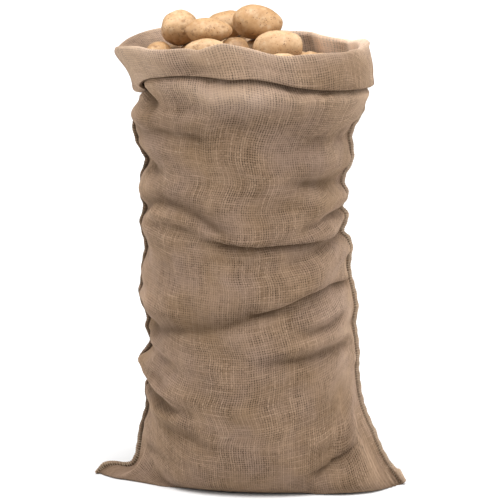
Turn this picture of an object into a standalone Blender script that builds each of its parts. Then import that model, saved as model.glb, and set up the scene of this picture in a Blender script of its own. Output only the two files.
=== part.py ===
"""Hessian sack, 60 cm wide and about 105 cm long when flat, standing full of potatoes with its mouth rolled down.

One length of hessian is folded across the bottom and sewn up both sides with the seams left outside. Filled and
stood up, its bottom corners stick out as ears, the sides crumple along the seams, and the mouth is turned down
outwards as a cuff with its hem tucked up behind. The front faces -Y, the seams lie at -X and +X, and the sack
stands on z = 0. Tables are in millimetres.
"""

import math
from collections import namedtuple

import bmesh
import bpy
import numpy as np
from mathutils import Euler, Matrix, Vector, noise
from mathutils.bvhtree import BVHTree

MM = 0.001
CLOTH = 2.4
PIECE_GAP = 1.0
# Where the two cloths lie together in the ears, half of the gap between them.
LEAST_INSIDE = 0.5
EAR_TIP_SOLID = 0.1
EAR_EASING = 5

# Four lines up the cloth, from the bottom fold to the rim: (x, z) on the seams, (y, z) up the two panels.
LEFT_SEAM = [
    (-279, 5), (-275, 12), (-263, 17), (-248, 17), (-233, 14), (-219, 17), (-210, 29), (-206, 45),
    (-203, 64), (-200, 84), (-195, 103), (-189, 122), (-186, 142), (-188, 158), (-187, 175), (-176, 194),
    (-199, 221), (-183, 244), (-178, 262), (-187, 282), (-184, 304), (-192, 325), (-199, 347), (-195, 372),
    (-193, 400), (-189, 420), (-187, 439), (-192, 461), (-196, 484), (-189, 506), (-194, 528), (-196, 545),
    (-193, 573), (-185, 597), (-191, 614), (-202, 635), (-210, 658), (-211, 680), (-201, 699), (-191, 714),
    (-196, 735), (-203, 757), (-216, 780), (-236, 802),
]
RIGHT_SEAM = [
    (281, 7), (271, 21), (258, 38), (246, 56), (237, 74), (230, 92), (220, 113), (211, 135),
    (204, 160), (200, 185), (197, 215), (198, 240), (196, 262), (193, 285), (191, 304), (195, 325),
    (193, 345), (187, 372), (181, 394), (181, 420), (184, 438), (180, 456), (168, 470), (174, 488),
    (176, 502), (165, 517), (174, 531), (175, 546), (168, 563), (173, 580), (184, 600), (185, 618),
    (182, 645), (189, 666), (203, 690), (207, 712), (211, 735), (209, 760), (206, 790), (203, 815),
]
FRONT_LINE = [
    (0, 1.2), (-60, 1.2), (-110, 1.2), (-133, 6), (-151, 20), (-163, 39), (-172, 66), (-179, 105),
    (-184, 160), (-187, 240), (-187, 330), (-184, 420), (-181, 520), (-178, 620), (-174, 700), (-169, 760),
    (-163, 815),
]
BACK_LINE = [
    (0, 1.2), (60, 1.2), (110, 1.2), (133, 6), (151, 20), (163, 39), (172, 66), (180, 105),
    (186, 160), (190, 250), (187, 340), (183, 430), (185, 530), (180, 630), (175, 700), (167, 760),
    (158, 820),
]

# How far the rim rises and dips along each panel: (t, dz), t from the left seam -1 to the right seam 1.
FRONT_RIM = [
    (-1, -7), (-0.94, 0), (-0.86, 4), (-0.6, 7), (-0.52, 6), (-0.44, 2), (-0.36, 1), (-0.22, 3),
    (-0.15, 0), (-0.09, 6), (-0.02, 12), (0.05, 8), (0.11, 4), (0.17, -2), (0.24, -8), (0.31, -11),
    (0.4, -9), (0.55, -8), (0.7, -9), (0.79, -5), (0.9, -9), (1, 0),
]
BACK_RIM = [(-1, -7), (-0.8, 14), (-0.6, 24), (-0.3, 20), (0, 8), (0.3, 3), (0.6, 0), (0.85, -5), (1, 0)]
# Height of the cuff's lower edge above the floor: (t, z).
FRONT_CUFF = [
    (-1, 726), (-0.9, 727), (-0.82, 731), (-0.74, 742), (-0.66, 750), (-0.56, 756), (-0.46, 760), (-0.4, 762),
    (-0.28, 766), (-0.19, 765), (-0.14, 758), (-0.03, 755), (0.1, 752), (0.2, 751), (0.3, 744), (0.5, 742),
    (0.75, 738), (1, 737),
]
BACK_CUFF = [(-1, 726), (-0.7, 745), (-0.45, 762), (-0.15, 756), (0.2, 765), (0.5, 748), (0.8, 740), (1, 737)]
# Where the cloth leaves the floor, as a share of its way up: (t, f).
LEAVES_FLOOR = [
    (-1, 0.0), (-0.92, 0.014), (-0.84, 0.03), (-0.76, 0.053), (-0.68, 0.078), (-0.59, 0.105), (-0.48, 0.124),
    (0, 0.12), (0.57, 0.124), (0.79, 0.098), (0.9, 0.054), (0.97, 0.02), (1, 0.0),
]
# How far the two ears reach along the floor, and how far forward they lie below the share EARS_END.
FLOOR_HALF = (-288, 291)
EARS_FORWARD = 18
EARS_END = 0.13
# How much rounder than a half ellipse the cloth is down at the base.
BASE_BOXY = 0.5

# Folds: path is (t, z) points along the fold, up and down are its widths above and below that line.
Fold = namedtuple("Fold", "kind path raised sunk up down")
FRONT_FOLDS = [
    Fold("tuck", [(-0.95, 668), (-0.74, 671), (-0.49, 670), (-0.27, 662)], 3.5, 2.5, 20, 16),
    Fold("soft", [(-1.0, 606), (-0.9, 605), (-0.7, 598), (-0.52, 577)], 0, 7, 12, 14),
    Fold("soft", [(-0.85, 512), (-0.6, 514), (-0.35, 513), (-0.05, 503)], 0, 6, 12, 12),
    Fold("soft", [(-0.8, 489), (-0.6, 490), (-0.38, 487), (-0.15, 474)], 6, 0, 14, 10),
    Fold(
        "tuck",
        [(-0.36, 480), (-0.24, 477), (-0.09, 467), (0.03, 461), (0.15, 458), (0.23, 465), (0.33, 465),
         (0.45, 460), (0.58, 466), (0.78, 478), (0.95, 480)],
        8, 8, 30, 16,
    ),
    Fold("soft", [(0.5, 657), (0.67, 663), (0.9, 667)], 0, 6, 11, 11),
    Fold("soft", [(0.36, 576), (0.53, 585), (0.75, 594), (0.95, 600)], 0, 9, 13, 11),
    Fold("soft", [(0.5, 618), (0.7, 628), (0.95, 634)], 5, 0, 16, 14),
    Fold("soft", [(0.33, 520), (0.56, 530), (0.82, 537)], 0, 6, 10, 10),
    Fold("tuck", [(0.44, 499), (0.62, 510), (0.8, 522), (0.95, 528)], 5, 4, 12, 12),
    Fold("tuck", [(0.1, 328), (0.25, 353), (0.43, 375), (0.62, 387), (0.8, 393), (0.93, 395)], 10, 7, 30, 18),
    Fold("soft", [(-0.9, 288), (-0.74, 290), (-0.51, 295), (-0.15, 322), (0.1, 333), (0.25, 342)], 0, 8, 18, 16),
    Fold("soft", [(-0.8, 345), (-0.5, 352), (-0.2, 370), (0.1, 385)], 4, 0, 22, 20),
    Fold("soft", [(0.3, 272), (0.58, 288), (0.9, 297)], 4, 0, 12, 9),
    Fold("soft", [(0.35, 240), (0.6, 252), (0.85, 273)], 4, 0, 12, 9),
    Fold("soft", [(-0.72, 207), (-0.52, 191), (-0.36, 172)], 5, 0, 8, 7),
    Fold("soft", [(-0.78, 196), (-0.56, 180), (-0.4, 163)], 0, 6, 7, 8),
    Fold("soft", [(-0.75, 163), (-0.51, 151), (-0.3, 143)], 4, 0, 8, 7),
    Fold("soft", [(0.4, 62), (0.55, 76), (0.72, 92), (0.85, 106)], 0, 9, 12, 10),
    Fold("soft", [(0.45, 95), (0.66, 112), (0.85, 128)], 5, 0, 14, 12),
    Fold("soft", [(-0.9, 66), (-0.7, 62), (-0.5, 48)], 0, 5, 12, 10),
]
BACK_FOLDS = [
    Fold("tuck", [(-0.95, 640), (-0.6, 632), (-0.2, 640), (0.15, 652)], 6, 5, 24, 16),
    Fold("soft", [(0.3, 668), (0.6, 658), (0.95, 662)], 0, 7, 14, 14),
    Fold("tuck", [(-0.1, 548), (0.25, 540), (0.6, 552), (0.95, 563)], 8, 6, 28, 16),
    Fold("soft", [(-0.95, 566), (-0.6, 556), (-0.3, 540)], 0, 7, 14, 12),
    Fold("soft", [(-0.95, 506), (-0.55, 496), (-0.1, 478), (0.3, 470)], 0, 6, 14, 14),
    Fold("tuck", [(-0.95, 405), (-0.6, 398), (-0.2, 408), (0.2, 396), (0.5, 402)], 8, 7, 28, 16),
    Fold("soft", [(0.4, 360), (0.7, 378), (0.95, 390)], 0, 8, 14, 12),
    Fold("soft", [(-0.3, 300), (0.1, 288), (0.5, 300), (0.95, 306)], 0, 7, 18, 16),
    Fold("soft", [(-0.95, 262), (-0.65, 250), (-0.3, 232)], 0, 7, 14, 12),
    Fold("soft", [(-0.85, 110), (-0.65, 86), (-0.45, 66)], 0, 8, 12, 10),
    Fold("soft", [(0.42, 70), (0.65, 96), (0.88, 120)], 0, 8, 12, 10),
]
# Pleats that stand up and down in the slack rim at the back: (t, outward shift, half width in t).
RIM_PLEATS = [
    (0.31, 13, 0.05), (0.41, -13, 0.06), (0.53, 11, 0.06), (0.7, -9, 0.07), (0.86, 5, 0.06), (-0.7, -5, 0.12),
]
PLEAT_REACH = 110

# The cuff: how far its cloth stands off the wall it is turned over.
RIM_TURN = 7.5
CUFF_STANDS = 18.0
HEM_STANDS = 6.0
EDGE_TURN = 6.0
HEM_TUCK = 26.0
GUIDE_LENGTH = 925.0

SEAM_STANDS = 11.0
SEAM_THICK = 3.6
SEAM_LEANS_BACK = 0.35
SEAM_ENDS = (0.0, 0.012, 0.88, 0.904)
BESIDE_SEAM = 0.988

COLUMNS = 22
BASE_ROWS = [0.0, 0.012, 0.028, 0.046, 0.066, 0.086, 0.106, 0.124, 0.14, 0.156, 0.178]
WALL_ROWS = 33
UNDER_CUFF = 0.905

Potato = namedtuple("Potato", "x y long broad high turn tilt")
LOWER_POTATOES = [
    Potato(-63, -110, 82, 58, 58, 10, 4),
    Potato(14, -114, 70, 52, 38, -6, 3),
    Potato(76, -108, 58, 46, 36, 4, 0),
    Potato(-137, -84, 60, 48, 40, -32, 0),
    Potato(-162, -22, 70, 50, 53, 84, -4),
    Potato(-77, -50, 64, 54, 42, 6, 0),
    Potato(-16, -54, 60, 57, 54, 35, 0),
    Potato(62, -46, 94, 64, 66, -10, 8),
    Potato(120, -60, 66, 46, 51, 58, -4),
    Potato(-104, 10, 66, 54, 42, 72, 0),
    Potato(-44, 11, 58, 60, 44, 6, 0),
    Potato(24, 16, 70, 60, 45, -8, 0),
    Potato(86, 16, 66, 58, 30, 100, 4),
    Potato(159, 14, 70, 50, 48, 95, 0),
    Potato(-152, 50, 66, 48, 40, 66, 0),
    Potato(-84, 76, 72, 52, 46, 4, 0),
    Potato(-14, 76, 66, 62, 48, 84, 0),
    Potato(54, 81, 70, 54, 42, -6, 0),
    Potato(121, 76, 68, 54, 35, -30, 4),
    Potato(-46, 130, 62, 40, 44, 4, 0),
    Potato(30, 131, 58, 32, 36, -8, 0),
    Potato(-110, 116, 44, 26, 36, 30, 0),
]
UPPER_POTATOES = [
    Potato(-129, 8, 78, 68, 66, 75, -8),
    Potato(-64, -52, 84, 58, 48, 6, 0),
    Potato(-50, 58, 76, 62, 52, 25, 0),
    Potato(16, 6, 94, 66, 62, 8, -10),
]
POTATO_SIDES = 12
POTATO_BANDS = 7
# The filling below the potatoes that show: (z, how far it stays off the seams, how far off the panels).
FILLING_LEVELS = [
    (6, 110, 50), (22, 72, 34), (55, 40, 24), (110, 24, 22), (240, 22, 22), (380, 22, 22), (520, 22, 22),
    (620, 26, 26), (680, 24, 24), (705, 18, 18),
]
FILLING_TOP = [(-190, 760), (-90, 772), (0, 775), (60, 776), (100, 758), (130, 748), (160, 731), (190, 715)]
FILLING_SIDES = 28


def clear_scene():
    for obj in list(bpy.data.objects):
        bpy.data.objects.remove(obj)


def smooth(s):
    s = np.clip(s, 0.0, 1.0)
    return s * s * (3.0 - 2.0 * s)


def guide(points, samples=12):
    """A smooth curve through the points, as a function of the share of its length."""
    p = np.array(points, float)
    p = np.vstack([2 * p[0] - p[1], p, 2 * p[-1] - p[-2]])
    s = np.linspace(0.0, 1.0, samples, endpoint=False)[:, None]
    runs = []
    for a, b, c, d in zip(p[:-3], p[1:-2], p[2:-1], p[3:]):
        bend = (2 * a - 5 * b + 4 * c - d) * s**2 + (3 * b - a - 3 * c + d) * s**3
        runs.append(b + 0.5 * ((c - a) * s + bend))
    line = np.vstack(runs + [p[-2:-1]])
    along = np.concatenate([[0.0], np.cumsum(np.linalg.norm(np.diff(line, axis=0), axis=1))])
    along /= along[-1]
    return lambda f: np.stack([np.interp(f, along, line[:, k]) for k in (0, 1)], axis=-1)


def height_along(points, samples=60):
    """A smooth height over t through a table's points, as a function of t."""
    line = guide(points, samples)(np.linspace(0.0, 1.0, 400))
    return lambda t: np.interp(t, line[:, 0], line[:, 1])


LEFT, RIGHT = guide(LEFT_SEAM), guide(RIGHT_SEAM)
PANEL = {-1: guide(FRONT_LINE), 1: guide(BACK_LINE)}
RIM = {-1: height_along(FRONT_RIM), 1: height_along(BACK_RIM)}
CUFF_EDGE = {-1: height_along(FRONT_CUFF), 1: height_along(BACK_CUFF)}
LEAVES = height_along(LEAVES_FLOOR)
FOLD_LINES = {
    side: [(fold, height_along(fold.path)) for fold in folds]
    for side, folds in ((-1, FRONT_FOLDS), (1, BACK_FOLDS))
}


def fold_shift(t, z, side):
    """How far the folds push the cloth outwards, and how far their lips hang down."""
    out, hang = np.zeros_like(z), np.zeros_like(z)
    for fold, line in FOLD_LINES[side]:
        start, end = fold.path[0][0], fold.path[-1][0]
        fade = smooth((t - start + 0.1) / 0.22) * smooth((end + 0.1 - t) / 0.22)
        above = z - line(t)
        width = np.where(above > 0, fold.up, fold.down)
        hump = np.exp(-((above / width) ** 2))
        if fold.kind == "soft":
            out += fade * hump * (fold.raised - fold.sunk)
            continue
        lip = 0.5 + 0.5 * np.tanh(above / 3.0)
        out += fade * hump * (lip * fold.raised - (1 - lip) * fold.sunk)
        hang += fade * hump * lip * fold.raised * 0.6
    return out, hang


def lumps(around, z):
    """Slow unevenness where the potatoes press against the cloth; around is the girth in mm."""
    waves = [(2.2, 0.034, 0.041, 0.4), (1.8, -0.047, 0.032, 2.1), (1.4, 0.071, 0.055, 4.0), (1.2, -0.02, 0.083, 1.2)]
    return sum(size * np.sin(a * around + b * z + start) for size, a, b, start in waves)


def ears_forward(f, t):
    """How far the bottom corners are pulled forward."""
    return EARS_FORWARD * t * t * (1 - smooth(f / EARS_END))


def wall(f, t, side):
    """Middle of the cloth at f (bottom fold 0, rim 1) and t (left seam -1, right seam 1), one panel at a time."""
    f, t = np.broadcast_arrays(np.asarray(f, float), np.asarray(t, float))
    left, right, deep = LEFT(f), RIGHT(f), PANEL[side](f)
    turn = 0.5 * math.pi * t
    rounded = smooth(f / 0.26)
    across = (1 - rounded) * t + rounded * np.sin(turn)
    x = 0.5 * (left[..., 0] + right[..., 0]) + 0.5 * (right[..., 0] - left[..., 0]) * across
    boxy = BASE_BOXY * (1 - smooth((f - 0.12) / 0.2))
    spout = 1.0 - boxy + 0.25 * smooth((f - 0.86) / 0.12) * smooth(-t)
    y = side * np.abs(deep[..., 0]) * np.cos(turn) ** spout
    seam_z = np.where(t < 0, left[..., 1], right[..., 1])
    flat_until = 0.5 * (1 - smooth((f - 0.12) / 0.2))
    lift = smooth((np.abs(t) - flat_until) / (1 - flat_until))
    z = deep[..., 1] + (seam_z - deep[..., 1]) * lift
    leaves = 0.8 * LEAVES(t)
    risen = (0.13 + 0.11 * smooth((np.abs(t) - 0.3) / 0.5)) * (1 - smooth((np.abs(t) - 0.86) / 0.14)) + 0.002
    up = smooth((f - leaves) / np.maximum(risen - leaves, 0.002))
    on_floor = np.abs(t) * np.where(t < 0, FLOOR_HALF[0], FLOOR_HALF[1])
    x = on_floor + (x - on_floor) * up
    y = side * GUIDE_LENGTH * f * (1 - up) + y * up
    z = 1.2 + (z - 1.2) * up
    out, hang = fold_shift(t, z, side)
    pleats = sum(size * np.exp(-(((t - at) / half) ** 2)) for at, size, half in RIM_PLEATS)
    if side > 0:
        out += pleats * smooth((z - 815 + PLEAT_REACH) / PLEAT_REACH)
    around = 300 * t if side < 0 else 900 - 300 * t
    out += lumps(around, z) * smooth((z - 60) / 80) * (1 - 0.6 * smooth((z - 700) / 60))
    off_floor = smooth((z - 20) / 50) * smooth((1 - np.abs(t)) / 0.08)
    out, hang = out * off_floor, hang * off_floor
    x += out * np.sin(turn)
    y += side * out * np.cos(turn)
    z = z - hang + RIM[side](t) * smooth((f - 0.62) / 0.38)
    return np.stack([x, y - ears_forward(f, t), z], axis=-1)


def ring_columns():
    """(t, side) round the sack: left seam, front panel, right seam, back panel."""
    t = np.sin(np.linspace(-0.5, 0.5, COLUMNS) * math.pi * 0.93) / math.sin(0.5 * math.pi * 0.93)
    front = [(-1.0, -1)] + [(a * BESIDE_SEAM, -1) for a in t]
    back = [(1.0, -1)] + [(a * BESIDE_SEAM, 1) for a in t[::-1]]
    return front + back


def ring(f, columns):
    """One turn of cloth at height share f, where f may differ from column to column."""
    points = np.zeros((len(columns), 3))
    t = np.array([c[0] for c in columns])
    side = np.array([c[1] for c in columns])
    f = np.broadcast_to(np.asarray(f, float), t.shape)
    for which in (-1, 1):
        chosen = side == which
        points[chosen] = wall(f[chosen], t[chosen], which)
    return points


def outwards(points):
    """Level direction pointing out of a ring of points, at each of them."""
    along = np.roll(points, -1, axis=0) - np.roll(points, 1, axis=0)
    away = np.stack([along[:, 1], -along[:, 0], np.zeros(len(points))], axis=1)
    return away / np.linalg.norm(away, axis=1)[:, None]


def cuff_rows(columns):
    """Rings of the turned-down cuff: over the rim, down the outside, under its lower edge, and up to the hem."""
    t = np.array([c[0] for c in columns])
    edge = np.where([c[1] < 0 for c in columns], CUFF_EDGE[-1](t), CUFF_EDGE[1](t))
    rim = ring(1.0, columns)[:, 2]
    tall = rim - edge
    rows = []

    def add(stands, below):
        base = ring(1.0 - below / GUIDE_LENGTH, columns)
        place = base + outwards(base) * stands
        place[:, 2] = rim - below
        rows.append(place)

    for angle in (30, 65, 90, 115, 150):
        a = math.radians(angle)
        add(RIM_TURN * (1 - math.cos(a)), RIM_TURN * (1 - math.sin(a)) + 0 * tall)
    for share in (0.16, 0.38, 0.62, 0.84):
        swell = 2.0 * RIM_TURN + (CUFF_STANDS - 2.0 * RIM_TURN) * math.sin(math.pi * min(1.0, share / 1.2))
        add(swell, RIM_TURN + share * (tall - RIM_TURN - EDGE_TURN))
    middle = 0.5 * (CUFF_STANDS - 2.0 + HEM_STANDS)
    reach = middle - HEM_STANDS
    for angle in (20, 60, 100, 145, 180):
        a = math.radians(angle)
        add(middle + reach * math.cos(a), tall - EDGE_TURN + EDGE_TURN * math.sin(a))
    add(HEM_STANDS, tall - EDGE_TURN - HEM_TUCK)
    return rows


def cloth_rows(columns):
    top = 1.0 - RIM_TURN / GUIDE_LENGTH
    heights = BASE_ROWS + list(np.linspace(BASE_ROWS[-1], UNDER_CUFF, WALL_ROWS + 1)[1:])
    heights += [0.5 * (UNDER_CUFF + top), top]
    rows = np.array([ring(f, columns) for f in heights] + cuff_rows(columns))
    return eased(rows, heights, columns), heights


def below_first(rows):
    """Below the bottom fold the cloth goes on up the other panel."""
    return rows[1][(-np.arange(rows.shape[1])) % rows.shape[1]]


def eased(rows, heights, columns):
    """Evens out the sharp creases low down beside the ears' seams."""
    t = np.abs([c[0] for c in columns])
    f = np.array(list(heights) + [1.0] * (len(rows) - len(heights)))[:, None]
    beside = smooth((t - 0.5) / 0.2) * (1 - smooth((t - 0.93) / 0.07))
    weight = beside * (1 - smooth((f - 0.12) / 0.06))
    for _ in range(EAR_EASING):
        beyond = np.concatenate([below_first(rows)[None], rows, rows[-1:]])
        around = beyond[2:] + beyond[:-2] + np.roll(rows, 1, axis=1) + np.roll(rows, -1, axis=1)
        rows = rows + 0.5 * weight[..., None] * (0.25 * around - rows)
    return rows


def normals_of(rows):
    """Outward normals of the grid of rings."""
    across = np.roll(rows, -1, axis=1) - np.roll(rows, 1, axis=1)
    extended = np.concatenate([below_first(rows)[None], rows, 2 * rows[-1:] - rows[-2:-1]])
    up = extended[2:] - extended[:-2]
    normal = np.cross(across, up)
    return normal / np.maximum(np.linalg.norm(normal, axis=2), 1e-9)[..., None]


def seam_flange(rows, heights, seam, way, skin):
    """The two outer corners of the seam's standing edge at each row; way is -1 at the left seam, 1 at the right."""
    edge = rows[:, seam]
    path = np.gradient(edge[:, [0, 2]], axis=0)
    spread = np.array([path[max(0, i - 2) : i + 3].mean(axis=0) for i in range(len(path))])
    spread /= np.linalg.norm(spread, axis=1)[:, None]
    f = np.array(list(heights) + [1.0] * (len(rows) - len(heights)))
    lean = SEAM_LEANS_BACK * smooth((f - 0.035) / 0.08)
    stand = np.stack([way * spread[:, 1], lean, -way * spread[:, 0]], axis=1)
    stand /= np.linalg.norm(stand, axis=1)[:, None]
    a, b, c, d = SEAM_ENDS
    size = 0.35 + 0.65 * smooth((f - a) / (b - a))
    size = size * (1 - smooth((f - c) / (d - c)))
    tip = skin[:, seam] + stand * (SEAM_STANDS * size)[:, None]
    half = np.array([0.0, 0.5, 0.0]) * (0.8 + (SEAM_THICK - 0.8) * size)[:, None]
    half[0] = 0
    return tip - half, tip + half


def skins(columns):
    """Outer and inner skin as two grids of the same size, with two columns for each seam."""
    rows, heights = cloth_rows(columns)
    normal = normals_of(rows)
    right = COLUMNS + 1
    t = np.array([c[0] for c in columns])
    f = np.array(list(heights) + [1.0] * (len(rows) - len(heights)))[:, None]
    outer = rows + normal * CLOTH / 2
    inner = rows - normal * CLOTH / 2
    outer[:, :, 2] = np.maximum(outer[:, :, 2], 0.0)
    facing = np.array([which for t, which in columns]) * (np.abs(t) < 1)
    forward = ears_forward(f, t[None, :])
    for skin, least in ((outer, LEAST_INSIDE + CLOTH), (inner, LEAST_INSIDE)):
        deep = skin[..., 1] + forward
        apart = facing * np.maximum(facing * deep, least)
        skin[1:, :, 1] = np.where(facing != 0, apart, deep)[1:] - forward[1:]
    # The inside of each ear stops short of the outer corner.
    inner[:, :, 0] *= 1 - EAR_TIP_SOLID * (1 - smooth(f / 0.07))
    grids = []
    for skin, is_outer in ((outer, True), (inner, False)):
        if is_outer:
            left_pair = seam_flange(rows, heights, 0, -1, skin)
            right_pair = seam_flange(rows, heights, right, 1, skin)
        else:
            nudge = np.zeros((len(rows), 3))
            nudge[1:, 1] = 0.35
            left_pair = (skin[:, 0] - nudge, skin[:, 0] + nudge)
            right_pair = (skin[:, right] - nudge, skin[:, right] + nudge)
        parts = [
            left_pair[1][:, None], left_pair[0][:, None], skin[:, 1:right],
            right_pair[0][:, None], right_pair[1][:, None], skin[:, right + 1 :],
        ]
        grids.append(np.concatenate(parts, axis=1))
    for grid in grids:
        count = grid.shape[1]
        grid[0] = 0.5 * (grid[0] + grid[0][(1 - np.arange(count)) % count])
        grid[:, :, 2] = np.maximum(grid[:, :, 2], 0.0)
    return grids


def wrapped_grid(bm, points):
    """A grid whose columns close into a tube, moved to the points; returns the vertices, row by row.

    The quads are cut one way round the front and the other way round the back, alike in both skins.
    """
    rows, columns = points.shape[:2]
    before = len(bm.verts)
    bmesh.ops.create_grid(bm, x_segments=columns, y_segments=rows - 1, size=1.0)
    bm.verts.ensure_lookup_table()
    verts = bm.verts[before:]
    lines = [verts[r * (columns + 1) : (r + 1) * (columns + 1)] for r in range(rows)]
    for line, row in zip(lines, points):
        for k, vert in enumerate(line):
            vert.co = Vector(row[k % columns] * MM)
    column = {vert: k for line in lines for k, vert in enumerate(line)}
    quads = [face for face in bm.faces if len(face.verts) == 4]
    front = [face for face in quads if max(column[vert] for vert in face.verts) <= COLUMNS + 3]
    back = [face for face in quads if max(column[vert] for vert in face.verts) > COLUMNS + 3]
    bmesh.ops.triangulate(bm, faces=front, quad_method="FIXED")
    bmesh.ops.triangulate(bm, faces=back, quad_method="ALTERNATE")
    return lines


def new_object(name, bm, material):
    mesh = bpy.data.meshes.new(name)
    bm.to_mesh(mesh)
    bm.free()
    mesh.materials.append(material)
    mesh.shade_smooth()
    mesh.set_sharp_from_angle(angle=math.radians(60))
    obj = bpy.data.objects.new(name, mesh)
    bpy.context.scene.collection.objects.link(obj)
    return obj


def finish(name, colour, roughness):
    material = bpy.data.materials.new(name)
    material.use_nodes = True
    shader = material.node_tree.nodes["Principled BSDF"]
    shader.inputs["Base Color"].default_value = (*colour, 1.0)
    shader.inputs["Roughness"].default_value = roughness
    shader.inputs["Metallic"].default_value = 0.0
    return material


def sack(material):
    outer, inner = skins(ring_columns())
    bm = bmesh.new()
    outside = wrapped_grid(bm, outer)
    faces = list(bm.faces)
    inside = wrapped_grid(bm, inner)
    inner_faces = [face for face in bm.faces if face not in set(faces)]
    bmesh.ops.reverse_faces(bm, faces=inner_faces)
    hems = []
    for lines in (outside, inside):
        pairs = zip(lines[-1][:-1], lines[-1][1:])
        hems.append([bm.edges.get(pair) for pair in pairs])
    bmesh.ops.remove_doubles(bm, verts=bm.verts, dist=0.02 * MM)
    rim_edges = [edge for edge in bm.edges if len(edge.link_faces) == 1]
    bmesh.ops.bridge_loops(bm, edges=rim_edges)
    bmesh.ops.triangulate(bm, faces=bm.faces)
    bmesh.ops.recalc_face_normals(bm, faces=bm.faces)
    return new_object("sack", bm, material)


def filling_outline(z, off_seams, off_panels):
    """Ring of points inside the wall at one height, clear of the folds."""
    t = np.linspace(-1.0, 1.0, FILLING_SIDES // 2, endpoint=False)
    points = []
    for side, span in ((-1, t), (1, -t)):
        f = np.interp(z, PANEL[side](np.linspace(0.14, 1, 200))[:, 1], np.linspace(0.14, 1, 200))
        left, right, deep = LEFT(f), RIGHT(f), PANEL[side](f)
        half_wide = 0.5 * (min(right[0], 206) - max(left[0], -206)) - off_seams
        middle = 0.5 * (min(right[0], 206) + max(left[0], -206))
        half_deep = abs(deep[0]) - off_panels
        turn = 0.5 * math.pi * span
        x = middle + half_wide * np.sin(turn)
        y = side * half_deep * np.cos(turn)
        points += [Vector((a, b, z)) * MM for a, b in zip(x, y)]
    return points


def filling(material):
    """The potatoes that nobody sees, as one plain solid from the base up to the layer at the mouth."""
    top = height_along(FILLING_TOP)
    bm = bmesh.new()
    loops = []
    for level in FILLING_LEVELS + [FILLING_LEVELS[-1]]:
        outline = filling_outline(*level)
        made = bmesh.ops.create_circle(bm, segments=len(outline), radius=1.0)["verts"]
        for vert, place in zip(made, outline):
            vert.co = place
        loops.append(made)
    for vert in loops[-1]:
        vert.co.z = float(top(vert.co.x / MM)) * MM
    bmesh.ops.bridge_loops(bm, edges=bm.edges)
    for loop in (loops[0], loops[-1]):
        bmesh.ops.contextual_create(bm, geom=loop)
    bmesh.ops.triangulate(bm, faces=bm.faces)
    bmesh.ops.recalc_face_normals(bm, faces=bm.faces)
    return new_object("filling", bm, material)


def potato_mesh(potato, seed):
    """A lumpy egg shape, longest along its own x."""
    bm = bmesh.new()
    bmesh.ops.create_uvsphere(bm, u_segments=POTATO_SIDES, v_segments=POTATO_BANDS, radius=0.5)
    bmesh.ops.rotate(bm, verts=bm.verts, matrix=Matrix.Rotation(math.radians(90), 3, "Y"))
    for vert in bm.verts:
        lump = 1.0 + 0.10 * noise.noise(vert.co * 2.2 + Vector((seed * 7.3, seed * 2.1, 0)))
        egg = 1.0 + 0.16 * vert.co.x * (1 if seed % 2 else -1)
        bent = 0.10 * (vert.co.x**2 - 0.08) * (1 if seed % 3 else -1)
        across = vert.co * lump
        vert.co = Vector((across.x * potato.long, (across.y * egg + bent) * potato.broad, across.z * egg * potato.high))
    turn = Euler((0, math.radians(-potato.tilt), math.radians(potato.turn))).to_matrix()
    bmesh.ops.rotate(bm, verts=bm.verts, matrix=turn)
    bmesh.ops.scale(bm, verts=bm.verts, vec=(MM, MM, MM))
    bmesh.ops.translate(bm, verts=bm.verts, vec=Vector((potato.x, potato.y, 1000)) * MM)
    bmesh.ops.triangulate(bm, faces=bm.faces)
    return bm


def surface_points(bm):
    """Corners, middles of edges and middles of faces."""
    corners = [vert.co.copy() for vert in bm.verts]
    middles = [0.5 * (edge.verts[0].co + edge.verts[1].co) for edge in bm.edges]
    return corners + middles + [face.calc_center_median() for face in bm.faces]


def fall(bm, beneath):
    """How far the shape can come straight down before it rests on what is beneath."""
    shape = BVHTree.FromBMesh(bm)
    furthest = 10.0
    for tree, points in beneath:
        down = [tree.ray_cast(point, Vector((0, 0, -1)))[3] for point in surface_points(bm)]
        rise = [shape.ray_cast(point, Vector((0, 0, 1)))[3] for point in points]
        furthest = min([furthest] + [d for d in down + rise if d is not None])
    return furthest


def heap(material, bed):
    """Drops the lower potatoes straight onto the bed, then the upper ones onto them."""
    bm = bmesh.new()
    bm.from_mesh(bed.data)
    beneath = [(BVHTree.FromBMesh(bm), surface_points(bm))]
    bm.free()
    for number, potato in enumerate(LOWER_POTATOES + UPPER_POTATOES, start=1):
        bm = potato_mesh(potato, number)
        under = beneath[:1] if number <= len(LOWER_POTATOES) else beneath
        down = fall(bm, under) - PIECE_GAP * MM
        bmesh.ops.translate(bm, verts=bm.verts, vec=(0, 0, -down))
        beneath.append((BVHTree.FromBMesh(bm), surface_points(bm)))
        new_object(f"potato_{number:02d}", bm, material)


def centre():
    """Moves everything level, so that the middle of the whole stands at the origin."""
    meshes = [obj.data for obj in bpy.data.objects]
    corners = np.array([vert.co for mesh in meshes for vert in mesh.vertices])
    middle = 0.5 * (corners.min(axis=0) + corners.max(axis=0))
    for mesh in meshes:
        mesh.transform(Matrix.Translation((-middle[0], -middle[1], 0)))


def main():
    clear_scene()
    hessian = finish("hessian", (0.38, 0.26, 0.17), 0.95)
    skin = finish("potato_skin", (0.60, 0.40, 0.20), 0.65)
    sack(hessian)
    heap(skin, filling(skin))
    centre()


main()
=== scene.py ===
"""A hessian sack full of potatoes with its mouth turned down, in a plain studio.

The cloth is one sheet of two panels, front (side -1) and back (side 1). On a panel, f runs from the bottom
fold at 0 to the rim at 1, and t from the left seam at -1 to the right seam at 1. Lengths are in millimetres,
but for those of the weave, which are in metres as Blender's are.
"""

import math
import random
from collections import namedtuple

import bmesh
import bpy
import numpy as np
from mathutils import Euler, Matrix, Vector, noise


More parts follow.
